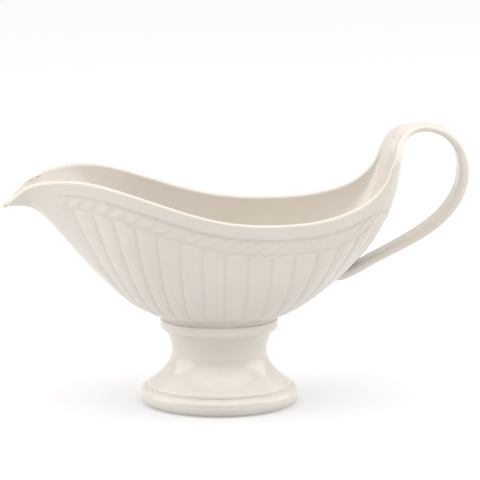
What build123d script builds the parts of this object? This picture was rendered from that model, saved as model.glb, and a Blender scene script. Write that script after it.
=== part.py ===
from build123d import *
import os
import numpy as np

# A footed gravy boat of glazed porcelain, in millimetres: a boat-shaped bowl with a long
# pouring spout, a strap handle that grows out of its raised back rim, and a hollow turned
# pedestal. Each is cast on its own and luted to the bowl.
#
# Frame: the origin is on the resting plane under the middle of the pedestal, the spout
# points to -X, the handle to +X, and +Z is up. The boat is symmetric about the XZ plane.

# ---- driving dimensions ----
wall = 3.2               # thickness of the bowl's wall
spout_thinning = 0.8     # how much thinner the wall is at the tip of the spout
seat_height = 45.0       # underside of the bowl, which is the top of the pedestal
seat_radius = 25.0       # where the bowl's outside leaves the pedestal
floor_thickness = 4.4    # the bowl's floor, over the pedestal
floor_radius = 15.0      # inside this radius the floor is one flat disc
tongue_above_seat = 75.0  # the tongue is all higher than this over the seat
root_place = 103.0       # where the handle is luted to the tongue that runs out of the back rim
rib_points = 12          # points along each side of a rib
first_step = 0.12        # share of the wall between a rib's first two points

# The rim, from the tip of the spout round one side to the middle of the back:
# place along the boat, half width of the boat there, height of the lip.
rim_stations = [
    (-112.4, 0.0, 106.0),
    (-109.8, 3.8, 108.4),
    (-104.8, 7.6, 112.6),
    (-97.5, 11.8, 117.8),
    (-86.0, 20.0, 121.5),
    (-72.0, 29.0, 122.4),
    (-54.0, 37.0, 119.1),
    (-30.0, 40.6, 111.3),
    (0.0, 41.8, 102.8),
    (28.0, 41.2, 100.8),
    (50.0, 39.0, 102.6),
    (66.0, 35.0, 107.0),
    (77.0, 32.2, 113.3),
    (84.0, 30.2, 121.5),
    (88.5, 27.6, 131.0),
    (91.8, 20.0, 137.9),
    (93.7, 11.0, 141.1),
    (94.5, 0.0, 142.4),
]

# The keel, the line of the bowl's underside in the plane of symmetry: place, height.
keel_stations = [
    (-116.0, 104.9),
    (-106.0, 105.3),
    (-98.6, 104.2),
    (-91.4, 99.2),
    (-76.0, 83.0),
    (-57.0, 63.4),
    (-39.0, 50.6),
    (-25.0, 46.2),
    (0.0, 45.0),
    (25.0, 46.2),
    (38.5, 51.0),
    (56.4, 62.5),
    (70.3, 75.2),
    (79.9, 88.0),
    (86.2, 101.0),
    (90.9, 116.0),
    (92.8, 132.0),
    (94.2, 146.0),
]

# How the cross-section of the boat changes along it: place, how flat its floor is (a
# larger power is flatter), and how upright its sides are (a smaller power is steeper).
section_stations = [
    (-116.0, 2.1, 0.95),
    (-80.0, 2.2, 0.84),
    (-50.0, 2.8, 0.62),
    (-25.0, 5.2, 0.50),
    (0.0, 7.2, 0.48),
    (25.0, 5.2, 0.46),
    (50.0, 3.0, 0.45),
    (70.0, 2.4, 0.45),
    (97.0, 2.5, 0.45),
]

# ---- pedestal ----
pedestal_wall = 4.2
foot_ring_radius = 37.6  # outer edge of the flat ring that it stands on
foot_ring_width = 3.6
plinth_radius = 41.4     # the rounded band at the bottom
plinth_widest = 5.0      # height where it is that wide
plinth_height = 8.2
plinth_shoulder = 1.9    # how far the top of the band lies inside its widest
groove_height = 8.7      # groove between the band and the fine ring above it
ring_radius = 37.0
ring_height = 11.2
neck_radius = 25.0
neck_height = 27.0
collar_radius = 30.9     # the band that the bowl is seated on
collar_bottom = 39.4
collar_edge = 1.0        # bevel of the collar's two edges

# The flare from the fine ring to the neck, and from the neck to the collar: radius, height
flare = [(33.4, 13.3), (29.9, 16.8), (26.9, 21.2), (neck_radius, neck_height)]
throat = [(25.5, 32.0), (27.0, 36.0)]

# ---- handle: middle line of the strap in the plane of symmetry, with its width and thickness
strap_stations = [
    (93.1, 137.0, 25.0, 2.4),
    (94.8, 140.0, 21.5, 2.8),
    (99.4, 142.6, 17.0, 3.0),
    (106.6, 143.6, 14.8, 3.0),
    (112.8, 142.6, 14.8, 3.3),
    (119.0, 139.4, 15.2, 3.9),
    (124.7, 132.6, 16.0, 4.7),
    (127.3, 122.0, 16.6, 5.3),
    (125.9, 111.8, 16.8, 5.4),
    (119.9, 100.8, 16.8, 5.2),
    (110.8, 92.0, 16.4, 4.9),
    (99.3, 84.6, 15.8, 4.5),
    (87.2, 78.2, 14.8, 4.3),
    (77.0, 72.9, 13.6, 4.6),
    (68.4, 68.3, 12.4, 5.2),
    (62.2, 65.6, 10.8, 4.4),
    (57.4, 64.5, 8.6, 2.4),
]


def sampled(stations, count=900, **ends):
    """Columns of values along a smooth curve through the stations."""
    curve = Spline(*stations, mode=Mode.PRIVATE, **ends)
    samples = curve.positions([i / (count - 1) for i in range(count)])
    return np.array([tuple(sample) for sample in samples]).T


across = (0, 1, 0)
back_across = (0, -1, 0)
rim_x, rim_width, rim_height = sampled(rim_stations, tangents=(across, back_across))
keel_x, keel_height, _ = sampled([(x, z, 0) for x, z in keel_stations])
section_x, floor_power, side_power = sampled(section_stations)


def wall_at(x):
    """Thickness of the wall, which thins towards the tip of the spout."""
    return wall - spout_thinning * np.clip((-x - 95) / 15, 0, 1)


def outside_height(x, y):
    """Height of the bowl's outer surface over a point of the plan."""
    lip = np.interp(x, rim_x, rim_height) - wall_at(x) / 2
    half_width = np.maximum(np.interp(x, rim_x, rim_width), 0.001)
    keel = np.minimum(np.interp(x, keel_x, keel_height), lip)
    out = np.clip(np.abs(y) / half_width, 0, 1)
    power = np.interp(x, section_x, floor_power)
    side = np.interp(x, section_x, side_power)
    return keel + (lip - keel) * (1 - (1 - out**power) ** side)


def rib(station):
    """Outer and inner line of the wall, as radius and height, in the upright plane
    through the pedestal's axis and one point of the rim."""
    x, half_width, lip_height = station
    crest_radius = float(np.hypot(x, half_width))
    cosine, sine = x / crest_radius, half_width / crest_radius
    thickness = float(wall_at(x))
    tip = float(np.clip((-x - 100) / 12, 0, 1))
    lip_radius = crest_radius + thickness / 2 * (1 - 2 * tip)

    # dense line of the outside, closer together where the wall is steep
    share = 1 - (1 - np.linspace(0, 1, 900)) ** 2.5
    plan_radius = seat_radius + (crest_radius - seat_radius) * share
    radius = seat_radius + (lip_radius - seat_radius) * share
    height = outside_height(plan_radius * cosine, plan_radius * sine)
    height[-1] = lip_height - thickness / 2
    height -= (height[0] - seat_height) * (1 - share) ** 3

    run = np.concatenate([[0], np.cumsum(np.hypot(np.diff(radius), np.diff(height)))])
    places = np.concatenate([[0], np.linspace(first_step, 1, rib_points)]) * run[-1]
    outer = np.array([np.interp(places, run, radius), np.interp(places, run, height)]).T
    slope = np.gradient(outer, axis=0)
    normal = np.array([-slope[:, 1], slope[:, 0]]).T
    normal /= np.linalg.norm(normal, axis=1)[:, None]
    depth = np.full(len(outer), thickness)
    depth[0] = floor_thickness
    normal[0] = (0, 1)
    inner = outer + normal * depth[:, None]
    return outer, inner, cosine, sine


def lip_point(outer, inner):
    """Top of the rounded lip between the two sides of the wall."""
    edge = inner[-1] - outer[-1]
    return (outer[-1] + inner[-1]) / 2 + np.array([edge[1], -edge[0]]) / 2


def mirrored(station):
    return (station[0], -station[1], station[2])


# The bowl's wall: ribs all the way round one side, and one more past each end so that the
# surface crosses the plane of symmetry smoothly.
rib_stations = [mirrored(rim_stations[1])] + rim_stations + [mirrored(rim_stations[-2])]
with BuildPart() as shell:
    for station in rib_stations:
        outer, inner, cosine, sine = rib(station)
        upright = Plane(origin=(0, 0, 0), x_dir=(cosine, sine, 0), z_dir=(sine, -cosine, 0))
        underside = (floor_radius, seat_height + 0.6)
        floor_edge = (floor_radius, seat_height + floor_thickness - 0.4)
        with BuildSketch(upright):
            with BuildLine():
                Spline(*[tuple(point) for point in outer])
                ThreePointArc(tuple(outer[-1]), tuple(lip_point(outer, inner)), tuple(inner[-1]))
                Spline(*[tuple(point) for point in inner[::-1]])
                Polyline(tuple(inner[0]), floor_edge, underside, tuple(outer[0]))
            make_face()
    loft()
    split(bisect_by=Plane.XZ, keep=Keep.BOTTOM)
    mirror(about=Plane.XZ)


# ---- the whole strap, from inside the raised back rim to its tail
with BuildPart() as strap:
    line_points = [(x, 0, z) for x, z, _, _ in strap_stations]
    route = Spline(*line_points, tangents=((0.2, 0, 1), (-1, 0, -0.1)), mode=Mode.PRIVATE)
    for x, z, width, thickness in strap_stations:
        along = route.param_at_point((x, 0, z))
        section = Plane(origin=(x, 0, z), x_dir=(0, 1, 0), z_dir=route % along)
        with BuildSketch(section):
            RectangleRounded(width, thickness, thickness * 0.46)
    loft()

# The short root of the strap is cast with the bowl, as a tongue that the handle is luted to
with BuildPart() as tongue:
    add(strap.part)
    split(bisect_by=Plane.YZ.offset(root_place), keep=Keep.BOTTOM)
    split(bisect_by=Plane.XY.offset(seat_height + tongue_above_seat), keep=Keep.TOP)

# ---- bowl: the wall, its floor disc and the tongue
with BuildPart() as bowl:
    add(shell.part)
    with BuildSketch(Plane.XY.offset(seat_height + 0.3)):
        Circle(floor_radius + 4)
    extrude(amount=floor_thickness - 0.45)
    add(tongue.part)
bowl.part.label = "bowl"

# ---- handle: the rest of the strap, its tail shaped to the back of the bowl
with BuildPart() as handle:
    add(strap.part)
    add(bowl.part, mode=Mode.SUBTRACT)
handle.part.label = "handle"

# ---- pedestal: one turned hollow casting, open underneath
foot_edge = (foot_ring_radius, 0)
foot_inner = (foot_ring_radius - foot_ring_width, 0)
plinth_top = (plinth_radius - plinth_shoulder, plinth_height)
groove = (ring_radius + 0.3, groove_height)
ring_top = (ring_radius - 0.8, ring_height)
collar_side = collar_bottom + collar_edge
seat_edge = collar_radius - collar_edge
hollow_radius = neck_radius - pedestal_wall
with BuildPart() as pedestal:
    with BuildSketch(Plane.XZ):
        with BuildLine():
            # outside, from the foot ring up to the seat
            Line(foot_inner, foot_edge)
            Spline(
                foot_edge,
                (plinth_radius, plinth_widest),
                plinth_top,
                tangents=((1, 0.25), (-1, 0.12)),
            )
            Line(plinth_top, groove)
            Spline(
                groove,
                (ring_radius + 0.2, (groove_height + ring_height) / 2),
                ring_top,
                tangents=((0.2, 1), (-1, 0.3)),
            )
            Spline(
                ring_top,
                *flare,
                *throat,
                (seat_edge, collar_bottom),
                tangents=((-1, 0.5), (1, 0.8)),
            )
            Line((seat_edge, collar_bottom), (collar_radius, collar_side))
            Line((collar_radius, collar_side), (collar_radius, seat_height - collar_edge))
            Line((collar_radius, seat_height - collar_edge), (seat_edge, seat_height))
            # the seat, then the inside down to the foot ring
            Line((seat_edge, seat_height), (hollow_radius, seat_height))
            Spline(
                (hollow_radius, seat_height),
                (hollow_radius, neck_height),
                (foot_inner[0] - 1.4, groove_height),
                foot_inner,
                tangents=((0, -1), (0.1, -1)),
            )
        make_face()
    revolve(axis=Axis.Z)
pedestal.part.label = "pedestal"

os.makedirs("parts", exist_ok=True)
for piece in (bowl, pedestal, handle):
    name = piece.part.label
    export_step(piece.part, f"parts/{name}.step")
    print(name, len(piece.part.solids()), piece.part.is_valid, piece.part.bounding_box().size)
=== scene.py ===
import math
import bmesh
import bpy
import numpy as np
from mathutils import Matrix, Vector


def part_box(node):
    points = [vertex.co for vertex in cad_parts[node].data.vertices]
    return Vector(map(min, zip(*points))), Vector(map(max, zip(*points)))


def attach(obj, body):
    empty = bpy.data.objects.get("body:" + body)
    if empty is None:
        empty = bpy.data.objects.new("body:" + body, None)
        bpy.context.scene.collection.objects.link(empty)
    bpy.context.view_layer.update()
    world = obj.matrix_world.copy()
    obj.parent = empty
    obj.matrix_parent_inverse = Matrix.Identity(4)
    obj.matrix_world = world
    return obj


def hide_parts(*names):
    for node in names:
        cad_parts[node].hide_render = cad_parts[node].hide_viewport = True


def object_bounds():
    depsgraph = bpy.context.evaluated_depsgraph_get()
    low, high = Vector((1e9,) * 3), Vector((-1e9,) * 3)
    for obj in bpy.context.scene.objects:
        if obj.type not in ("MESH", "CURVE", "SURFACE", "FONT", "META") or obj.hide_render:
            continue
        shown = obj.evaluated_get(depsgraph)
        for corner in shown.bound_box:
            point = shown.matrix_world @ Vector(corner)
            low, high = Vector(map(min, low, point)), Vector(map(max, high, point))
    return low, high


# The looks of a footed gravy boat of glazed porcelain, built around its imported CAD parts.
# Shapes are worked out in millimetres in the row frame and turned into metres as the meshes
# are made. The spout points to -X, the handle to +X, and the boat is symmetric about Y = 0.

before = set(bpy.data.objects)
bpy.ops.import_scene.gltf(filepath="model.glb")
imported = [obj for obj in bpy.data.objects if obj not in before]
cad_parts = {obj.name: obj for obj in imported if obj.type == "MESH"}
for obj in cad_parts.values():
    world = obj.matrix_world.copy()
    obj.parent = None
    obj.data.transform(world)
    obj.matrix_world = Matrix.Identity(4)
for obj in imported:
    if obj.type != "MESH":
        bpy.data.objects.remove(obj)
cad_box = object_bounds()

MM = 0.001
_, pedestal_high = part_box("pedestal")
SEAT_HEIGHT = pedestal_high.z / MM      # underside of the bowl
PLINTH_RADIUS = pedestal_high.x / MM

# ---- driving dimensions of the bowl, as its CAD source has them ----
WALL = 3.2
SPOUT_THINNING = 0.8                    # the wall thins by this much at the spout's tip,
SPOUT_THIN_FROM, SPOUT_THIN_OVER = 95.0, 15.0   # from this far forward, over this length
SEAT_RADIUS = 25.0
FLOOR_THICKNESS = 4.4
ROOT_PLACE = 103.0                      # where the handle is luted to the tongue

# The lip, from the tip of the spout to where it runs on as the edge of the strap:
# place along the boat, half width, height of the crest
LIP = [
    (-112.4, 0.0, 106.0),
    (-109.8, 3.8, 108.4),
    (-104.8, 7.6, 112.6),
    (-97.5, 11.8, 117.8),
    (-86.0, 20.0, 121.5),
    (-72.0, 29.0, 122.4),
    (-54.0, 37.0, 119.1),
    (-30.0, 40.6, 111.3),
    (0.0, 41.8, 102.8),
    (28.0, 41.2, 100.8),
    (50.0, 39.0, 102.6),
    (66.0, 35.0, 107.0),
    (77.0, 32.2, 113.3),
    (84.0, 30.2, 121.5),
    (88.5, 27.6, 131.0),
    (91.8, 20.0, 137.9),
    (93.7, 11.0, 141.1),
    (94.5, 0.0, 142.4),
]
# The line of the underside in the plane of symmetry: place, height
KEEL = [
    (-116.0, 104.9),
    (-106.0, 105.3),
    (-98.6, 104.2),
    (-91.4, 99.2),
    (-76.0, 83.0),
    (-57.0, 63.4),
    (-39.0, 50.6),
    (-25.0, 46.2),
    (0.0, 45.0),
    (25.0, 46.2),
    (38.5, 51.0),
    (56.4, 62.5),
    (70.3, 75.2),
    (79.9, 88.0),
    (86.2, 101.0),
    (90.9, 116.0),
    (92.8, 132.0),
    (94.2, 146.0),
]
# The cross-section: place, how flat its floor is, how upright its sides are
SECTION = [
    (-116.0, 2.1, 0.95),
    (-80.0, 2.2, 0.84),
    (-50.0, 2.8, 0.62),
    (-25.0, 5.2, 0.50),
    (0.0, 7.2, 0.48),
    (25.0, 5.2, 0.46),
    (50.0, 3.0, 0.45),
    (70.0, 2.4, 0.45),
    (97.0, 2.5, 0.45),
]
# The strap above the back wall: place and height of its middle, half width, thickness
STRAP = [
    (94.1, 138.2, 17.4, 3.0),
    (96.5, 140.9, 12.3, 3.0),
    (100.6, 142.7, 8.9, 3.0),
    (106.6, 143.6, 7.4, 3.0),
    (112.8, 142.6, 7.4, 3.3),
    (119.0, 139.4, 7.6, 3.9),
    (124.7, 132.6, 8.0, 4.7),
    (127.3, 122.0, 8.3, 5.3),
    (125.9, 111.8, 8.4, 5.4),
    (119.9, 100.8, 8.4, 5.2),
    (110.8, 92.0, 8.2, 4.9),
    (99.3, 84.6, 7.9, 4.5),
    (87.2, 78.2, 7.4, 4.3),
    (77.0, 72.9, 6.8, 4.6),
    (68.4, 68.3, 6.2, 5.2),
    (62.2, 65.6, 5.4, 4.4),
    (57.4, 64.5, 4.3, 2.4),
]
WALL_HEIGHTS = (112.0, 118.0, 124.0, 130.0, 135.0)  # where the back wall sets the ribbon's line
RIBBON_START = 124.0                    # ribs turn into the ribbon between these heights
RIBBON_FULL = 136.0
AZIMUTH_STEP = 0.005                    # for the slope across the columns
COLUMN_CAP = 97.0                       # lines of the ribbon run parallel past this place
LIP_RISES_FROM = 40.0                   # the lip climbs all the way from here to the strap
BACK_PLACE = 88.0                       # about where the ribbon's edge leaves the back wall
BOW_ACROSS, BOW_PLACE = 21.0, 92.0      # where the back wall's bow is measured
BOW_GONE = 108.0                        # the strap's face is flat from here on

# ---- relief on the bowl's outside, measured down the wall from the lip ----
BAND_MIDDLE = 12.0                      # depth of the rope's middle
BAND_CEILING = 101.0                    # the band stays below this height round the back
BAND_START = -9.0                       # the band fades in here, before the first groove
BAND_EASE = 2.0
GROUND = -0.62                          # the ground of the band lies this far inside
BEAD_RISE = 0.28                        # the fine bead along the band's upper edge
BEAD_PLACE, BEAD_HALF = -5.0, 0.55
ROPE_HALF = 3.5                         # the rope: half width, height, lean and lay
ROPE_RISE = 0.74
ROPE_LEAN = 3.3
ROPE_LAY = 8.2
STRAND_WIDTH = 0.66                     # share of the lay that a strand fills
ROD_SHARE = 0.34                        # height of the rod between strands, as a share
FLUTE_PITCH = 12.3
FIRST_FLUTE = -79.0                     # place of the foremost groove
LEDGE_TOP = 4.3                         # the small ledge over the flutes, below the rope
LEDGE_DROP = 1.1
LEDGE_RISE = 0.14
LEDGE_CORNER = 0.9
PANEL_RISE = 0.56                       # crown of a flute's panel
GROOVE_HALF = 0.95
GROOVE_DEPTH = 0.34

# ---- how finely the bowl and the strap are divided ----
COARSE_COLUMNS = 1100                   # trial columns, to find where the band runs
SPOUT_COLUMNS = 45
ROOT_COLUMNS = 10                       # on either side of the middle of the strap's root
ABOVE_BAND, BAND_ROWS, BELOW_BAND = 24, 29, 28
BAND_ABOVE, BAND_BELOW = 6, 8           # how far the close rows reach from the band's middle
STRAP_ROWS = 190
INNER_ROWS = 27
LIP_STEPS = 7
FLOOR_RINGS = 6

# ---- glaze and slip ----
FILLET_REACH = 30.2                     # radius where the glaze fillet at the seat begins
FILLET_DEPTH = 0.25
FILLET_ROWS = 7
SOFTEN_FROM, SOFTEN_FULL = 5.0, 35.0    # how far forward the inside is softened
SOFTEN_PASSES = 24
TIP_START = -104.0                      # the spout's tip is drawn in from here forward
TIP_MARGIN, SIDE_MARGIN, TOP_MARGIN = 0.02, 0.01, 0.002   # left inside the CAD's box

# ---- pedestal, floor, light and camera ----
FOOT_OUTER, FOOT_INNER = 37.6, 34.0
AROUND = 256                            # divisions of the turned foot
FLOOR_RADIUS = 6.0                      # metres
FLOOR_GLOW = 0.26
SKY_FRONT, SKY_BACK, SKY_TOP = 0.26, 0.82, 1.10
SKY_COLOUR = (1.0, 0.975, 0.945, 1)
LAMP_COLOUR = (1.0, 0.98, 0.955)
TARGET = Vector((0.01082, 0, 0.0853))
CAMERA_AZIMUTH, CAMERA_ELEVATION = -5.0, 11.2
CAMERA_DISTANCE = 2.5
VIEW_WIDTH = 0.2496
# azimuth and elevation in degrees, distance and size in metres, power in watts
SOFTBOXES = {
    "softbox_left": (-94, 17, 1.5, (1.4, 0.75), 6.6),
    "softbox_right": (91, 17, 1.5, (1.4, 0.75), 6.6),
    "softbox_front_left": (-42, 50, 1.7, (1.6, 1.4), 7.0),
    "softbox_front_right": (42, 50, 1.7, (1.6, 1.4), 7.0),
}


# ---- small tools ----
def smooth(value, low, high):
    """0 below low, 1 above high, and a smooth step between."""
    t = np.clip((value - low) / (high - low), 0, 1)
    return t * t * (3 - 2 * t)


def spline(points, count=1200, start=None, end=None):
    """Points along a smooth curve (a clamped or natural cubic spline by chord length)."""
    p = np.array(points, float)
    t = np.concatenate([[0], np.cumsum(np.linalg.norm(np.diff(p, axis=0), axis=1))])
    n, h = len(p), np.diff(t)
    a, b = np.zeros((n, n)), np.zeros_like(p)
    for i in range(1, n - 1):
        a[i, i - 1], a[i, i], a[i, i + 1] = h[i - 1], 2 * (h[i - 1] + h[i]), h[i]
        b[i] = 6 * ((p[i + 1] - p[i]) / h[i] - (p[i] - p[i - 1]) / h[i - 1])
    a[0, 0] = a[-1, -1] = 1
    if start is not None:
        a[0, 0], a[0, 1] = 2 * h[0], h[0]
        b[0] = 6 * ((p[1] - p[0]) / h[0] - np.array(start, float))
    if end is not None:
        a[-1, -1], a[-1, -2] = 2 * h[-1], h[-1]
        b[-1] = 6 * (np.array(end, float) - (p[-1] - p[-2]) / h[-1])
    m = np.linalg.solve(a, b)
    s = np.linspace(0, t[-1], count)
    k = np.clip(np.searchsorted(t, s, side="right") - 1, 0, n - 2)
    u, v, hk = (s - t[k])[:, None], (t[k + 1] - s)[:, None], h[k][:, None]
    return (
        m[k] * v**3 / (6 * hk)
        + m[k + 1] * u**3 / (6 * hk)
        + (p[k] / hk - m[k] * hk / 6) * v
        + (p[k + 1] / hk - m[k + 1] * hk / 6) * u
    )


def unit(v):
    return v / np.maximum(np.linalg.norm(v, axis=-1, keepdims=True), 1e-12)


def run_of(line):
    """Distance along a line of points."""
    return np.concatenate([[0], np.cumsum(np.linalg.norm(np.diff(line, axis=0), axis=1))])


def along(line, places):
    """The points of a line at given distances along it."""
    run = run_of(line)
    return np.stack([np.interp(places, run, line[:, i]) for i in range(line.shape[1])], axis=-1)


# ---- the bowl's outer surface ----
lip_line = spline(LIP, 6000, start=(0, 1, 0), end=(0, -1, 0))
keel_line = spline(KEEL, 4000)
section_line = spline(SECTION, 4000)


def wall_at(x):
    """Thickness of the wall at a place along the boat."""
    return WALL - SPOUT_THINNING * np.clip((-x - SPOUT_THIN_FROM) / SPOUT_THIN_OVER, 0, 1)


def outside_height(x, y):
    """Height of the outer surface over a point of the plan."""
    lip = np.interp(x, lip_line[:, 0], lip_line[:, 2]) - wall_at(x) / 2
    half_width = np.maximum(np.interp(x, lip_line[:, 0], lip_line[:, 1]), 0.001)
    keel = np.minimum(np.interp(x, keel_line[:, 0], keel_line[:, 1]), lip)
    out = np.clip(np.abs(y) / half_width, 0, 1)
    power = np.interp(x, section_line[:, 0], section_line[:, 1])
    side = np.interp(x, section_line[:, 0], section_line[:, 2])
    return keel + (lip - keel) * (1 - (1 - out**power) ** side)


def rib(lip_point, count=700):
    """The outer surface from the seat up to the lip in the upright plane through the
    pedestal's axis and one point of the lip."""
    x, half_width, lip_height = lip_point
    crest = math.hypot(x, half_width)
    cosine, sine = x / crest, half_width / crest
    thickness = float(wall_at(x))
    tip = float(np.clip((-x - 100) / 12, 0, 1))
    lip_radius = crest + thickness / 2 * (1 - 2 * tip)
    share = 1 - (1 - np.linspace(0, 1, count)) ** 2.5
    plan = SEAT_RADIUS + (crest - SEAT_RADIUS) * share
    radius = SEAT_RADIUS + (lip_radius - SEAT_RADIUS) * share
    height = outside_height(plan * cosine, plan * sine)
    height[-1] = lip_height - thickness / 2
    height -= (height[0] - SEAT_HEIGHT) * (1 - share) ** 3
    return np.stack([radius * cosine, radius * sine, height], axis=-1)


# ---- the ribbon: the middle of the back wall, running on over the top as the strap ----
lip_azimuth = np.arctan2(lip_line[:, 1], lip_line[:, 0])


def lip_at(azimuth):
    """The lip's place, half width and height in the plane at an azimuth."""
    return [float(np.interp(-azimuth, -lip_azimuth, lip_line[:, i])) for i in range(3)]


spine = rib(lip_at(0.0))                # the back wall's outside in the plane of symmetry


def wall_station(height):
    """Middle of the back wall at a height, half width of the boat's edge there, thickness."""
    x, above = np.interp([height, height + 1], spine[:, 2], spine[:, 0])
    length = math.hypot(above - x, 1)
    back_lip = lip_line[lip_line[:, 0] > LIP_RISES_FROM]
    place, half = (np.interp(height + WALL / 2, back_lip[:, 2], back_lip[:, i]) for i in (0, 1))
    half *= 1 + WALL / 2 / math.hypot(place, half)
    return x - WALL / 2 / length, height + WALL / 2 * (above - x) / length, half, WALL


ribbon = spline([wall_station(z) for z in WALL_HEIGHTS] + STRAP, 3000)
ribbon_run = run_of(ribbon[:, :2])
ribbon_way = unit(np.gradient(ribbon[:, :2], ribbon_run, axis=0))


def ribbon_at(s):
    """Middle, direction towards the loop, half width and thickness at distances s."""
    middle = np.stack([np.interp(s, ribbon_run, ribbon[:, i]) for i in (0, 1)], axis=-1)
    way = unit(np.stack([np.interp(s, ribbon_run, ribbon_way[:, i]) for i in (0, 1)], axis=-1))
    loop_side = np.stack([way[..., 1], -way[..., 0]], axis=-1)
    half, thick = (np.interp(s, ribbon_run, ribbon[:, i]) for i in (2, 3))
    return middle, loop_side, half, thick


def ribbon_place(x=None, z=None):
    """Distance along the ribbon where its loop side first passes a place or a height."""
    middle, loop_side, _, thick = ribbon_at(ribbon_run)
    face = middle + loop_side * thick[:, None] / 2
    passed = face[:, 0] > x if z is None else face[:, 1] > z
    return float(ribbon_run[np.argmax(passed)])


s_start, s_full = ribbon_place(z=RIBBON_START), ribbon_place(z=RIBBON_FULL)
s_root = ribbon_place(x=ROOT_PLACE)
s_flat = (s_full, ribbon_place(x=BOW_GONE))
s_inset = (ribbon_place(z=132.0), ribbon_place(x=106.0))


def edge_half(s):
    """Half width of the ribbon between the middles of its rounded edges."""
    _, _, half, thick = ribbon_at(s)
    return half - thick / 2 * smooth(s, *s_inset)


def bow_of_wall(height):
    """How strongly the back wall curves forward away from the plane of symmetry."""
    line = rib(lip_at(math.atan(BOW_ACROSS / BOW_PLACE)))
    x = np.interp(height, line[:, 2], line[:, 0])
    y = np.interp(height, line[:, 2], line[:, 1])
    return (np.interp(height, spine[:, 2], spine[:, 0]) - x) / y**2


bow_heights = np.linspace(RIBBON_START - 4, RIBBON_FULL, 20)
bow_values = np.array([bow_of_wall(z) for z in bow_heights])


def ribbon_face(azimuth, s):
    """The ribbon's loop side (the bowl's outside) along one line of it."""
    middle, loop_side, _, thick = ribbon_at(s)
    bow = np.interp(middle[:, 1], bow_heights, bow_values) * (1 - smooth(s, *s_flat))
    face = middle + loop_side * thick[:, None] / 2
    across = np.minimum(face[:, 0], COLUMN_CAP) * math.tan(azimuth)
    for _ in range(8):
        place = face[:, 0] - loop_side[:, 0] * bow * across**2
        across = np.minimum(place, COLUMN_CAP) * math.tan(azimuth)
    share = math.tan(azimuth) * COLUMN_CAP / edge_half(s_root)
    across = np.where(s > s_root, share * edge_half(s), across)
    face = face - loop_side * (bow * across**2)[:, None]
    return np.stack([face[:, 0], across, face[:, 1]], axis=-1)


root_azimuth = math.atan(float(edge_half(s_root)) / COLUMN_CAP)

# ---- columns: lines on the outside from the boat's edge down to the seat, found by how far
# round the edge they start, from the spout's tip to the middle of the back ----
edge_height = lip_line[:, 2] - wall_at(lip_line[:, 0]) / 2
last_rib = int(np.argmax((edge_height > RIBBON_START) & (lip_line[:, 0] > 0)))
rib_run = run_of(lip_line[: last_rib + 1])
rib_azimuth = lip_azimuth[: last_rib + 1]
ribbon_ends = np.linspace(s_start + 0.05, s_root, 80)
ribbon_edge_run = run_of(np.stack([ribbon_ends, edge_half(ribbon_ends)], axis=-1))
side_length = rib_run[-1]
ribbon_length = ribbon_edge_run[-1]
total_length = side_length + ribbon_length + float(edge_half(s_root))


def line_at(azimuth, s_end=None, low_count=None):
    """One line of the outside from the seat up to the edge, with the wall's thickness, and how
    many of its points lie below the ribbon."""
    mirrored = azimuth < 0 or azimuth > math.pi
    azimuth = abs(azimuth) if azimuth < math.pi else 2 * math.pi - azimuth
    line = rib(lip_at(azimuth))
    line = np.column_stack([line, wall_at(line[:, 0])])
    if s_end is not None:
        s = np.linspace(s_start, s_end, 300)
        top = ribbon_face(azimuth, s)
        known = line[:-1, :3]
        slope = (known[-1] - known[-40]) / (known[-1, 2] - known[-40, 2])
        over = np.maximum(top[:, 2] - known[-1, 2], 0)[:, None]
        wall_top = [np.interp(top[:, 2], known[:, 2], known[:, i]) for i in range(3)]
        wall_top = np.stack(wall_top, axis=-1) + slope * over
        share = smooth(s, s_start, s_full)[:, None]
        top = np.column_stack([wall_top * (1 - share) + top * share, ribbon_at(s)[3]])
        if low_count is None:
            low_count = int(np.sum(line[:, 2] < top[0, 2] - 0.05))
        line = np.vstack([line[:low_count], top])
    if mirrored:
        line[:, 1] *= -1
    return line, low_count


def ribbon_azimuth(s_end):
    """Azimuth of the line that reaches the ribbon's edge at s_end."""
    azimuth = math.atan(float(edge_half(s_end)) / BACK_PLACE)
    for _ in range(10):
        y = line_at(azimuth, s_end)[0][-1, 1]
        azimuth = math.atan(math.tan(azimuth) * float(edge_half(s_end)) / y)
    return azimuth


ribbon_azimuths = np.array([ribbon_azimuth(s) for s in ribbon_ends])


def column_at(place, with_normals=False):
    """One column's points from the edge down to the seat: x, y, z, the wall's thickness and,
    if asked for, the unit normal."""
    s_end = None
    if place <= side_length:
        azimuth = float(np.interp(place, rib_run, rib_azimuth))
    elif place <= side_length + ribbon_length:
        s_end = float(np.interp(place - side_length, ribbon_edge_run, ribbon_ends))
        azimuth = float(np.interp(s_end, ribbon_ends, ribbon_azimuths))
    else:
        s_end = s_root
        ratio = (total_length - place) / float(edge_half(s_root))
        azimuth = math.atan(max(ratio, 0.0) * math.tan(root_azimuth))
    line, low_count = line_at(azimuth, s_end)
    if not with_normals:
        return line[::-1]
    after = line_at(azimuth + AZIMUTH_STEP, s_end, low_count)[0]
    before = line_at(azimuth - AZIMUTH_STEP, s_end, low_count)[0]
    normal = unit(np.cross((after - before)[:, :3], np.gradient(line[:, :3], axis=0)))
    return np.column_stack([line, normal])[::-1]


# ---- relief on the outside ----
def down_wall(line):
    """How far each point of a column is below the top of the lip, along the wall."""
    return run_of(line[:, :3]) + line[0, 3] / 2


def band_depth(line):
    """Depth of the band's middle: even below the lip, but level round the raised back."""
    over = line[0, 2] + WALL / 2 - BAND_CEILING
    depth = down_wall(line)
    if over > 6:
        over = float(np.interp(-BAND_CEILING, -line[:, 2], depth))
    extra = BAND_EASE * math.log1p(math.exp(min((over - BAND_MIDDLE) / BAND_EASE, 30)))
    return BAND_MIDDLE + extra * float(smooth(line[0, 0], 10, 30))


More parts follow.
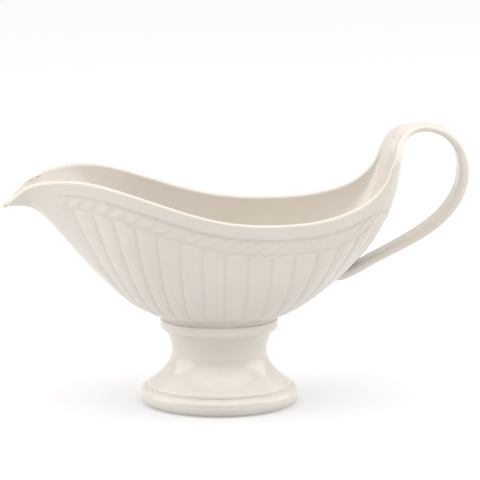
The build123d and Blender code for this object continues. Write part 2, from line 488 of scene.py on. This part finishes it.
def rope(a, b):
    """A ribbon twisted round a thin rod, 0 at its edges and 1 at its crown."""
    across = np.clip(b / ROPE_HALF, -1, 1)
    crown = np.sqrt(1 - across**2)
    phase = (a + ROPE_LEAN * np.arcsin(across)) / ROPE_LAY
    strand = 2 * (phase - np.floor(phase)) - 1
    ribbon_part = np.sqrt(np.clip(1 - (strand / STRAND_WIDTH) ** 2, 0, 1))
    return crown**0.8 * np.maximum(ribbon_part, ROD_SHARE)


def flutes(a, b, pitch_ratio):
    """Convex panels with a groove between each two, under a small ledge."""
    place = a / flute_pitch
    from_groove = np.abs(place - np.round(place)) * flute_pitch * pitch_ratio
    half = flute_pitch * pitch_ratio / 2
    bulge = 1 - (1 - from_groove / half) ** 2
    groove = np.exp(-((from_groove / GROOVE_HALF) ** 2))
    corner = LEDGE_CORNER * np.exp(-from_groove / 1.6)
    top = smooth(b, LEDGE_TOP + corner, LEDGE_TOP + LEDGE_DROP + corner)
    lip = LEDGE_RISE * np.exp(-(((b - LEDGE_TOP - 1.3 - corner) / 0.8) ** 2)) * (1 - groove)
    panel = PANEL_RISE * bulge * pitch_ratio - GROOVE_DEPTH * groove * pitch_ratio**0.5
    return top * panel + lip


def relief(a, b, pitch_ratio, height):
    """How far the outside stands out from the plain wall, at a distance a round from the first
    groove and b down from the band's middle."""
    present = smooth(a, BAND_START, BAND_START + 8)
    ground = GROUND * smooth(b, -5.4, -3.7)
    bead = BEAD_RISE * np.exp(-(((b - BEAD_PLACE) / BEAD_HALF) ** 2))
    twist = ROPE_RISE * rope(a, b) * (np.abs(b) < ROPE_HALF)
    band = present * (ground + bead + twist)
    panels = np.where(a < 0, -GROOVE_DEPTH * np.exp(-((a * pitch_ratio / GROOVE_HALF) ** 2)), 0)
    panels = panels * smooth(b, LEDGE_TOP, LEDGE_TOP + 2)
    panels = np.where(a < 0, panels, flutes(a, b, pitch_ratio))
    under = smooth(b, LEDGE_TOP - 1, LEDGE_TOP + 2) * (1 - smooth(a, -9, 0))
    band = band * (1 - under)
    return band + panels * smooth(height, SEAT_HEIGHT + 1.2, SEAT_HEIGHT + 6)


# Where the band runs on the plain wall, and the distance along it from the first groove
coarse_places = np.linspace(0, total_length, COARSE_COLUMNS)
coarse = [column_at(place) for place in coarse_places]
band_line = np.array([along(line[:, :3], band_depth(line) - line[0, 3] / 2) for line in coarse])
band_run = run_of(band_line)
band_run -= np.interp(FIRST_FLUTE, band_line[:, 0], band_run)
flute_count = round(2 * band_run[-1] / FLUTE_PITCH) / 2
flute_pitch = band_run[-1] / flute_count
corner_run = float(np.interp(side_length + ribbon_length, coarse_places, band_run))

# Columns: even on the spout, closer at each groove, and even again across the strap's root
offsets = np.array([0, 0.35, 0.75, 1.3, 2.1, 3.1, 4.2, 5.2]) * flute_pitch / FLUTE_PITCH
half_pitch = np.concatenate([offsets, [flute_pitch / 2]])
spout_runs = np.linspace(band_run[0], -half_pitch[-1], SPOUT_COLUMNS + 1)[:-1]
grooves = np.arange(0, math.ceil(flute_count) + 1) * flute_pitch
side_runs = np.add.outer(grooves, np.concatenate([-half_pitch, half_pitch]))
side_runs = np.unique(np.round(side_runs, 6))
side_runs = side_runs[side_runs < corner_run - 0.25]
side_places = np.interp(np.concatenate([spout_runs, side_runs]), band_run, coarse_places)
root_places = np.linspace(side_length + ribbon_length, total_length, ROOT_COLUMNS + 1)
places = np.concatenate([side_places, root_places])

rows, runs, depths = [], [], []
for place in places:
    line = column_at(place, with_normals=True)
    middle_depth, edge_depth = band_depth(line), line[0, 3] / 2
    plan = np.hypot(line[:, 0], line[:, 1])
    total = float(np.interp(-FILLET_REACH, -plan, down_wall(line)))
    high, low = middle_depth - BAND_ABOVE, middle_depth + BAND_BELOW
    depth = np.concatenate([
        np.linspace(edge_depth, high, ABOVE_BAND, endpoint=False),
        np.linspace(high, low, BAND_ROWS, endpoint=False),
        np.linspace(low, total, BELOW_BAND),
    ])
    rows.append(along(line, depth - edge_depth))
    depths.append(depth - middle_depth)
    runs.append(float(np.interp(place, coarse_places, band_run)))
side = np.array(rows)
side_b, side_a = np.array(depths), np.array(runs)


def all_round(values, flip=None):
    """One side's columns, then the other side's from the back round to the spout."""
    other = values[-2:0:-1].copy()
    if flip is not None:
        other[..., flip] *= -1
    return np.concatenate([values, other])


outside = all_round(side, flip=[1, 5])
ring_b, ring_a = all_round(side_b), all_round(side_a)
wall, normals = outside[..., 3], unit(outside[..., 4:])
outside = outside[..., :3]
columns, row_count = wall.shape
corner = len(side_places)                      # first column of the strap's root
root = np.arange(corner, corner + 2 * ROOT_COLUMNS + 1)


def ribbon_line(azimuth, s):
    """A line of the ribbon on either side of its middle."""
    return ribbon_face(abs(azimuth), s) * np.array([1, -1 if azimuth < 0 else 1, 1])


def ribbon_normal(azimuth, s):
    """The way out of the ribbon's loop side along one line of it."""
    across = ribbon_line(azimuth + AZIMUTH_STEP, s) - ribbon_line(azimuth - AZIMUTH_STEP, s)
    return unit(np.cross(across, ribbon_line(azimuth, s + 0.05) - ribbon_line(azimuth, s - 0.05)))


# The strap goes on from the root's columns, along the same lines of the ribbon
strap_runs = np.linspace(s_root, ribbon_run[-1], STRAP_ROWS + 1)
strap_azimuths = np.arctan(np.linspace(1, -1, len(root)) * math.tan(root_azimuth))
strap_out = np.array([ribbon_line(azimuth, strap_runs) for azimuth in strap_azimuths])
strap_normals = np.array([ribbon_normal(azimuth, strap_runs) for azimuth in strap_azimuths])
strap_wall = np.broadcast_to(ribbon_at(strap_runs)[3], strap_out.shape[:2])
normals[root, 0] = strap_normals[:, 0]

# ---- the skins: outside with its relief, rounded lip, inside and floor ----
radius = np.hypot(outside[..., 0], outside[..., 1])
pitch_ratio = radius / radius[:, ABOVE_BAND + BAND_ROWS // 2, None]
raised = relief(ring_a[:, None], ring_b, pitch_ratio, outside[..., 2])
skin = outside + normals * raised[..., None]
# the glaze fills the corner between the bowl's underside and the collar
inward = unit(-skin[:, -1, :2])
fillet_turn = np.linspace(0, 1, FILLET_ROWS + 1)[1:]
gap = skin[:, -1, 2, None] - SEAT_HEIGHT
depth_in = FILLET_DEPTH * np.sin(np.pi * fillet_turn) ** 0.8 * np.minimum(gap / 1.5, 1)
fillet = np.empty((columns, FILLET_ROWS, 3))
fillet[..., :2] = skin[:, -1, None, :2] + inward[:, None] * depth_in[..., None]
fillet[..., 2] = SEAT_HEIGHT + gap * (1 - fillet_turn)
inner_rows = (row_count - 1) * np.linspace(0, 1, INNER_ROWS) ** 1.3
inner_rows = np.unique(np.round(inner_rows).astype(int))
thick = wall + (FLOOR_THICKNESS - WALL) * (1 - smooth(radius, SEAT_RADIUS, SEAT_RADIUS + 10))
inside = (outside - normals * thick[..., None])[:, inner_rows]
strap_in = strap_out - strap_normals * strap_wall[..., None]
# inside the spout, the slip softens the corners either side of the keel
soften = 0.5 * smooth(-inside[..., 0], SOFTEN_FROM, SOFTEN_FULL)
soften *= smooth(np.arange(inside.shape[1]), 0, 4)
for _ in range(SOFTEN_PASSES):
    between = (np.roll(inside, 1, axis=0) + np.roll(inside, -1, axis=0)) / 2
    inside += (between - inside) * soften[..., None]


def rounded_edge(edge, normal, thickness, beyond):
    """Points of a half-round edge from the outer skin to the inner, along a line of the edge."""
    tangent = np.gradient(edge, run_of(edge), axis=0)
    out = unit(np.cross(tangent, normal))
    out *= np.sign(np.sum(out * (edge - beyond), axis=-1, keepdims=True))
    out = unit(out - normal * np.sum(out * normal, axis=-1, keepdims=True))
    turn = np.pi * np.arange(1, LIP_STEPS) / LIP_STEPS
    half = thickness[:, None, None] / 2
    round_way = normal[:, None] * np.cos(turn)[:, None] + out[:, None] * np.sin(turn)[:, None]
    return edge[:, None] - normal[:, None] * half + round_way * half


# one line: down the strap's far edge, round the bowl's lip, and up the strap's near edge
lip_order = np.concatenate([np.arange(root[-1], columns), np.arange(0, corner + 1)])
edge = np.concatenate([strap_out[-1, :0:-1], outside[lip_order, 0], strap_out[0, 1:]])
edge_normal = np.concatenate([
    strap_normals[-1, :0:-1],
    normals[lip_order, 0],
    strap_normals[0, 1:],
])
edge_wall = np.concatenate([strap_wall[-1, :0:-1], wall[lip_order, 0], strap_wall[0, 1:]])
edge_beyond = np.concatenate([
    strap_out[-4, :0:-1],
    outside[lip_order, 1],
    strap_out[3, 1:],
])
rounded = rounded_edge(edge, edge_normal, edge_wall, edge_beyond)
# the skins keep inside the CAD's own box: drawn in a little at the spout's tip and in width
(tip_limit, _, _), (_, side_limit, top_limit) = (np.array(point) / MM for point in cad_box)
tip_share = (tip_limit + TIP_MARGIN - TIP_START) / (rounded[..., 0].min() - TIP_START)
width_share = (side_limit - SIDE_MARGIN) / skin[..., 1].max()
for points in (skin, inside, fillet, strap_out, strap_in, rounded):
    past = np.minimum(points[..., 0] - TIP_START, 0)
    points[..., 0] += past * (tip_share - 1)
    points[..., 1] *= width_share
    points[..., 2] = np.minimum(points[..., 2], top_limit - TOP_MARGIN)
far_strap_lip = rounded[:STRAP_ROWS][::-1]
bowl_lip = rounded[STRAP_ROWS:-STRAP_ROWS]
near_strap_lip = rounded[-STRAP_ROWS:]


class Mesh:
    """Vertices and faces gathered a sheet at a time."""

    def __init__(self):
        self.points, self.faces, self.count = [], [], 0

    def add(self, points):
        """Adds a grid of points and gives back their vertex numbers."""
        points = np.asarray(points, float)
        index = self.count + np.arange(points[..., 0].size).reshape(points.shape[:-1])
        self.points.append(points.reshape(-1, 3))
        self.count += index.size
        return index

    def sheet(self, index, closed=False, turned=False):
        """Quads over a grid of vertex numbers."""
        after = np.roll(index, -1, axis=0) if closed else index[1:]
        now = index if closed else index[:-1]
        quads = np.stack([now[:, :-1], after[:, :-1], after[:, 1:], now[:, 1:]], axis=-1)
        quads = quads.reshape(-1, 4)
        self.faces.extend((quads[:, ::-1] if turned else quads).tolist())

    def fan(self, ring, centre, turned=False):
        """Triangles from a ring to one vertex at its middle."""
        for i, first in enumerate(ring):
            second = ring[(i + 1) % len(ring)]
            self.faces.append([int(second), int(first), int(centre)][:: -1 if turned else 1])

    def make(self, name):
        """Turns what was gathered into a smooth-shaded object in the scene, in metres."""
        mesh = bpy.data.meshes.new(name)
        mesh.from_pydata((np.vstack(self.points) * MM).tolist(), [], self.faces)
        mesh.validate()
        mesh.polygons.foreach_set("use_smooth", [True] * len(mesh.polygons))
        mesh.update()
        piece = bpy.data.objects.new(name, mesh)
        bpy.context.scene.collection.objects.link(piece)
        return piece


def face_outward(piece):
    """Turns every face outward, going by the sign of the enclosed volume."""
    mesh = piece.data
    work = bmesh.new()
    work.from_mesh(mesh)
    bmesh.ops.recalc_face_normals(work, faces=work.faces)
    if work.calc_volume(signed=True) < 0:
        bmesh.ops.reverse_faces(work, faces=work.faces)
    work.to_mesh(mesh)
    work.free()
    mesh.update()


# the bowl
boat = Mesh()
outer_index = boat.add(skin)
inner_index = boat.add(inside)
lip_index = boat.add(bowl_lip)
fillet_index = boat.add(fillet)
boat.sheet(np.concatenate([outer_index, fillet_index], axis=1), closed=True)
boat.sheet(inner_index, closed=True, turned=True)
chain = np.concatenate([outer_index[lip_order, :1], lip_index, inner_index[lip_order, :1]], axis=1)
boat.sheet(chain, turned=True)
floor_edge = inside[:, -1]
floor_shares = np.linspace(1, 0, FLOOR_RINGS + 1)[1:-1]
floor_middle = np.array([0, 0, SEAT_HEIGHT + FLOOR_THICKNESS])
floor_rings = floor_middle + (floor_edge - floor_middle)[:, None] * floor_shares[:, None]
floor_rise = floor_edge[:, 2, None] - floor_middle[2]
floor_rings[..., 2] = floor_middle[2] + floor_rise * floor_shares**2
floor_index = boat.add(floor_rings)
boat.sheet(np.concatenate([inner_index[:, -1:], floor_index], axis=1), closed=True, turned=True)
boat.fan(floor_index[:, -1], boat.add(floor_middle[None])[0], turned=True)
boat.fan(fillet_index[:, -1], boat.add(np.array([[0, 0, SEAT_HEIGHT]]))[0])
seam = np.stack([outer_index[root, 0], inner_index[root, 0]], axis=-1)
boat.sheet(seam)
boat.faces.append([int(i) for i in chain[-1]])
boat.faces.append([int(i) for i in chain[0][::-1]])
bowl_body = boat.make("bowl_body")
face_outward(bowl_body)

# the strap handle
strap = Mesh()
ring = np.concatenate([
    strap_out,
    np.concatenate([bowl_lip[:1], far_strap_lip]).transpose(1, 0, 2),
    strap_in[::-1],
    np.concatenate([bowl_lip[-1:], near_strap_lip]).transpose(1, 0, 2)[::-1],
])
ring[: len(root), 0] = skin[root, 0]
ring[len(root) + LIP_STEPS - 1: 2 * len(root) + LIP_STEPS - 1, 0] = inside[root[::-1], 0]
strap_index = strap.add(ring)
strap.sheet(strap_index, closed=True)
strap.faces.append([int(i) for i in strap_index[:, 0]])
strap.faces.append([int(i) for i in strap_index[::-1, -1]])
strap_handle = strap.make("strap_handle")
face_outward(strap_handle)


def skin_normals(piece, ring):
    """Summed face normals at a ring of vertices, without the faces that close the joint."""
    place = {int(vertex): i for i, vertex in enumerate(ring)}
    total = np.zeros((len(ring), 3))
    for face in piece.data.polygons:
        touching = [place[vertex] for vertex in face.vertices if vertex in place]
        if touching and len(touching) < len(face.vertices):
            total[touching] += np.array(face.normal) * face.area
    return total


# the two pieces share their normals where they meet, so the joint doesn't show
bowl_ring = np.concatenate([
    outer_index[root, 0],
    lip_index[0],
    inner_index[root[::-1], 0],
    lip_index[-1][::-1],
])
strap_ring = strap_index[:, 0]
shared = unit(skin_normals(bowl_body, bowl_ring) + skin_normals(strap_handle, strap_ring))
for piece, ring_vertices in ((bowl_body, bowl_ring), (strap_handle, strap_ring)):
    piece_normals = np.array([vertex.normal[:] for vertex in piece.data.vertices])
    piece_normals[ring_vertices] = shared
    piece.data.normals_split_custom_set_from_vertices(piece_normals.tolist())

# ---- pedestal: turned, hollow, open underneath ----
outline = []


def turned_line(points, count, start=None, end=None):
    """Adds a smooth stretch of the turned outline: radius, height."""
    curve = spline(points, count, start=start, end=end)
    outline.extend(curve.tolist())


turned_line([(FOOT_INNER, 0.5), (FOOT_INNER + 0.5, 0.0)], 4)
turned_line([(FOOT_OUTER - 0.4, 0.0), (FOOT_OUTER, 0.12)], 3)
turned_line(
    [
        (FOOT_OUTER + 0.4, 0.35),
        (PLINTH_RADIUS - 0.1, 3.6),
        (PLINTH_RADIUS - 0.05, 5.2),
        (40.9, 7.0),
        (39.4, 8.2),
    ],
    22, start=(1, 0.25), end=(-1, 0.12))
turned_line([(38.6, 8.45), (37.6, 8.62), (37.3, 8.9)], 6)
turned_line(
    [(37.4, 9.2), (37.35, 10.1), (36.9, 10.9), (36.1, 11.25)],
    9, start=(0.2, 1), end=(-1, 0.3))
turned_line(
    [
        (36.1, 11.35),
        (33.4, 13.3),
        (29.9, 16.8),
        (26.9, 21.2),
        (25.0, 27.0),
        (25.5, 32.0),
        (27.0, 36.0),
        (29.8, 39.3),
    ],
    44, start=(-1, 0.5), end=(1, 0.8))
turned_line([(30.1, 39.55), (30.7, 40.1), (30.9, 40.8)], 5)
turned_line([(30.9, 41.6), (30.9, 43.6)], 4)
turned_line([(30.88, 44.1), (30.6, 44.65), (29.9, 44.98)], 5)
turned_line([(29.0, 45.0), (21.0, 45.0)], 5)
turned_line(
    [(20.8, 44.6), (20.8, 36.0), (20.8, 27.0), (25.8, 16.6), (32.6, 8.7), (FOOT_INNER, 1.0)],
    30, start=(0, -1), end=(0.1, -1))
profile = np.array(outline)
turn = np.linspace(0, 2 * np.pi, AROUND, endpoint=False)
lathe = np.stack([
    np.cos(turn)[:, None] * profile[:, 0],
    np.sin(turn)[:, None] * profile[:, 0],
    np.broadcast_to(profile[:, 1], (AROUND, len(profile))),
], axis=-1)
foot = Mesh()
foot_index = foot.add(lathe)
foot.sheet(np.concatenate([foot_index, foot_index[:, :1]], axis=1), closed=True)
pedestal_foot = foot.make("pedestal_foot")
face_outward(pedestal_foot)


# ---- glazed porcelain ----
def node(tree, kind, **values):
    made = tree.nodes.new(kind)
    for name, value in values.items():
        if hasattr(made, name):
            setattr(made, name, value)
        else:
            made.inputs[name.replace("_", " ")].default_value = value
    return made


def porcelain(name, unglazed_foot=False):
    """Ivory-white body under a clear glaze: faint drifts of colour, slight waves in the glaze,
    fine orange peel, and a bare matt ring where it stood in the kiln."""
    material = bpy.data.materials.new(name)
    material.use_nodes = True
    tree = material.node_tree
    tree.nodes.clear()
    link = tree.links.new
    output = node(tree, "ShaderNodeOutputMaterial")
    shader = node(tree, "ShaderNodeBsdfPrincipled")
    link(shader.outputs["BSDF"], output.inputs["Surface"])
    place = node(tree, "ShaderNodeTexCoord")

    drift = node(tree, "ShaderNodeTexNoise", Scale=14.0, Detail=3.0, Roughness=0.55)
    link(place.outputs["Object"], drift.inputs["Vector"])
    body = node(tree, "ShaderNodeValToRGB")
    body.color_ramp.elements[0].position = 0.32
    body.color_ramp.elements[0].color = (0.665, 0.62, 0.565, 1)
    body.color_ramp.elements[1].position = 0.72
    body.color_ramp.elements[1].color = (0.70, 0.662, 0.61, 1)
    link(drift.outputs["Fac"], body.inputs["Fac"])

    specks = node(tree, "ShaderNodeTexVoronoi", Scale=260.0)
    link(place.outputs["Object"], specks.inputs["Vector"])
    speck_size = node(tree, "ShaderNodeMapRange", clamp=True)
    speck_size.inputs["From Min"].default_value = 0.03
    speck_size.inputs["From Max"].default_value = 0.07
    speck_size.inputs["To Min"].default_value = 0.10
    speck_size.inputs["To Max"].default_value = 0.0
    link(specks.outputs["Distance"], speck_size.inputs["Value"])
    tint = node(tree, "ShaderNodeMix", data_type="RGBA", blend_type="MULTIPLY")
    link(speck_size.outputs["Result"], tint.inputs["Factor"])
    link(body.outputs["Color"], tint.inputs[6])
    tint.inputs[7].default_value = (0.80, 0.72, 0.62, 1)

    gloss_noise = node(tree, "ShaderNodeTexNoise", Scale=55.0, Detail=2.0, Roughness=0.5)
    link(place.outputs["Object"], gloss_noise.inputs["Vector"])
    gloss = node(tree, "ShaderNodeMapRange")
    gloss.inputs["To Min"].default_value = 0.075
    gloss.inputs["To Max"].default_value = 0.15
    link(gloss_noise.outputs["Fac"], gloss.inputs["Value"])

    wave = node(tree, "ShaderNodeTexNoise", Scale=38.0, Detail=1.0, Roughness=0.4)
    link(place.outputs["Object"], wave.inputs["Vector"])
    peel = node(tree, "ShaderNodeTexNoise", Scale=900.0, Detail=1.0, Roughness=0.5)
    link(place.outputs["Object"], peel.inputs["Vector"])
    wave_bump = node(tree, "ShaderNodeBump", Strength=0.5, Distance=0.0004)
    link(wave.outputs["Fac"], wave_bump.inputs["Height"])
    peel_bump = node(tree, "ShaderNodeBump", Strength=0.10, Distance=0.00004)
    link(peel.outputs["Fac"], peel_bump.inputs["Height"])
    link(wave_bump.outputs["Normal"], peel_bump.inputs["Normal"])
    link(peel_bump.outputs["Normal"], shader.inputs["Normal"])

    colour, rough = tint.outputs[2], gloss.outputs["Result"]
    if unglazed_foot:
        split = node(tree, "ShaderNodeSeparateXYZ")
        link(place.outputs["Object"], split.inputs["Vector"])
        bare = node(tree, "ShaderNodeMapRange", clamp=True)
        bare.inputs["From Min"].default_value = 0.0003
        bare.inputs["From Max"].default_value = 0.0007
        bare.inputs["To Min"].default_value = 1.0
        bare.inputs["To Max"].default_value = 0.0
        link(split.outputs["Z"], bare.inputs["Value"])
        biscuit = node(tree, "ShaderNodeMix", data_type="RGBA")
        link(bare.outputs["Result"], biscuit.inputs["Factor"])
        link(colour, biscuit.inputs[6])
        biscuit.inputs[7].default_value = (0.78, 0.72, 0.62, 1)
        dull = node(tree, "ShaderNodeMix", data_type="FLOAT")
        link(bare.outputs["Result"], dull.inputs["Factor"])
        link(rough, dull.inputs[2])
        dull.inputs[3].default_value = 0.7
        colour, rough = biscuit.outputs[2], dull.outputs[0]
    link(colour, shader.inputs["Base Color"])
    link(rough, shader.inputs["Roughness"])
    shader.inputs["IOR"].default_value = 1.52
    shader.inputs["Subsurface Weight"].default_value = 0.12
    shader.inputs["Subsurface Radius"].default_value = (0.9, 0.75, 0.5)
    shader.inputs["Subsurface Scale"].default_value = 0.002
    return material


glaze = porcelain("glazed_porcelain")
foot_glaze = porcelain("glazed_porcelain_bare_foot", unglazed_foot=True)
for piece, cad_node, finish in (
    (bowl_body, "bowl", glaze),
    (strap_handle, "handle", glaze),
    (pedestal_foot, "pedestal", foot_glaze),
):
    piece.data.materials.append(finish)
    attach(piece, "root")
    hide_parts(cad_node)

# ---- floor, light and camera ----
floor_mesh = bmesh.new()
bmesh.ops.create_circle(floor_mesh, cap_ends=True, radius=FLOOR_RADIUS, segments=96)
floor_data = bpy.data.meshes.new("studio_floor")
floor_mesh.to_mesh(floor_data)
floor_mesh.free()
studio_floor = bpy.data.objects.new("studio_floor", floor_data)
bpy.context.scene.collection.objects.link(studio_floor)
studio_floor.location.z = -0.0002
pale = bpy.data.materials.new("pale_floor")
pale.use_nodes = True
pale_tree = pale.node_tree
pale_shader = pale_tree.nodes["Principled BSDF"]
pale_shader.inputs["Roughness"].default_value = 0.9
pale_shader.inputs["Specular IOR Level"].default_value = 0.0
pale_shader.inputs["Emission Color"].default_value = (1, 1, 1, 1)
pale_shader.inputs["Emission Strength"].default_value = FLOOR_GLOW
pale_noise = node(pale_tree, "ShaderNodeTexNoise", Scale=3.0, Detail=2.0)
pale_ramp = node(pale_tree, "ShaderNodeValToRGB")
pale_ramp.color_ramp.elements[0].color = (0.52, 0.53, 0.545, 1)
pale_ramp.color_ramp.elements[1].color = (0.56, 0.57, 0.585, 1)
pale_tree.links.new(pale_noise.outputs["Fac"], pale_ramp.inputs["Fac"])
pale_tree.links.new(pale_ramp.outputs["Color"], pale_shader.inputs["Base Color"])
floor_data.materials.append(pale)

world = bpy.data.worlds.new("studio")
bpy.context.scene.world = world
world.use_nodes = True
sky = world.node_tree
sky.nodes.clear()
sky_out = node(sky, "ShaderNodeOutputWorld")
sky_light = node(sky, "ShaderNodeBackground")
sky.links.new(sky_light.outputs["Background"], sky_out.inputs["Surface"])
direction = node(sky, "ShaderNodeTexCoord")
parts = node(sky, "ShaderNodeSeparateXYZ")
sky.links.new(direction.outputs["Generated"], parts.inputs["Vector"])
front_back = node(sky, "ShaderNodeMapRange", clamp=True, interpolation_type="SMOOTHSTEP")
front_back.inputs["From Min"].default_value = -0.9
front_back.inputs["From Max"].default_value = 0.5
front_back.inputs["To Min"].default_value = SKY_FRONT
front_back.inputs["To Max"].default_value = SKY_BACK
sky.links.new(parts.outputs["Y"], front_back.inputs["Value"])
upward = node(sky, "ShaderNodeMapRange", clamp=True, interpolation_type="SMOOTHSTEP")
upward.inputs["From Min"].default_value = 0.35
upward.inputs["From Max"].default_value = 1.0
upward.inputs["To Min"].default_value = 0.0
upward.inputs["To Max"].default_value = SKY_TOP
sky.links.new(parts.outputs["Z"], upward.inputs["Value"])
total = node(sky, "ShaderNodeMath", operation="ADD")
sky.links.new(front_back.outputs["Result"], total.inputs[0])
sky.links.new(upward.outputs["Result"], total.inputs[1])
sky.links.new(total.outputs["Value"], sky_light.inputs["Strength"])
sky_light.inputs["Color"].default_value = SKY_COLOUR


def softbox(name, azimuth, elevation, distance, size, power):
    """A square soft light aimed at the middle of the object; azimuth 0 is the front (-Y)."""
    turn, rise = math.radians(azimuth), math.radians(elevation)
    away = Vector((
        math.sin(turn) * math.cos(rise),
        -math.cos(turn) * math.cos(rise),
        math.sin(rise),
    ))
    data = bpy.data.lights.new(name, "AREA")
    data.shape = "RECTANGLE"
    data.size, data.size_y = size
    data.energy = power
    data.color = LAMP_COLOUR
    lamp = bpy.data.objects.new(name, data)
    bpy.context.scene.collection.objects.link(lamp)
    lamp.location = TARGET + away * distance
    lamp.rotation_euler = away.to_track_quat("Z", "Y").to_euler()
    return lamp


for name, settings in SOFTBOXES.items():
    softbox(name, *settings)

camera_data = bpy.data.cameras.new("camera")
camera = bpy.data.objects.new("camera", camera_data)
bpy.context.scene.collection.objects.link(camera)
turn, rise = math.radians(CAMERA_AZIMUTH), math.radians(CAMERA_ELEVATION)
camera_way = Vector((
    math.sin(turn) * math.cos(rise),
    -math.cos(turn) * math.cos(rise),
    math.sin(rise),
))
camera.location = TARGET + camera_way * CAMERA_DISTANCE
camera.rotation_euler = camera_way.to_track_quat("Z", "Y").to_euler()
camera_data.sensor_width = 36.0
camera_data.lens = 36.0 * CAMERA_DISTANCE / VIEW_WIDTH
camera_data.clip_end = 50.0
bpy.context.scene.camera = camera
bpy.context.scene.view_settings.view_transform = "Standard"
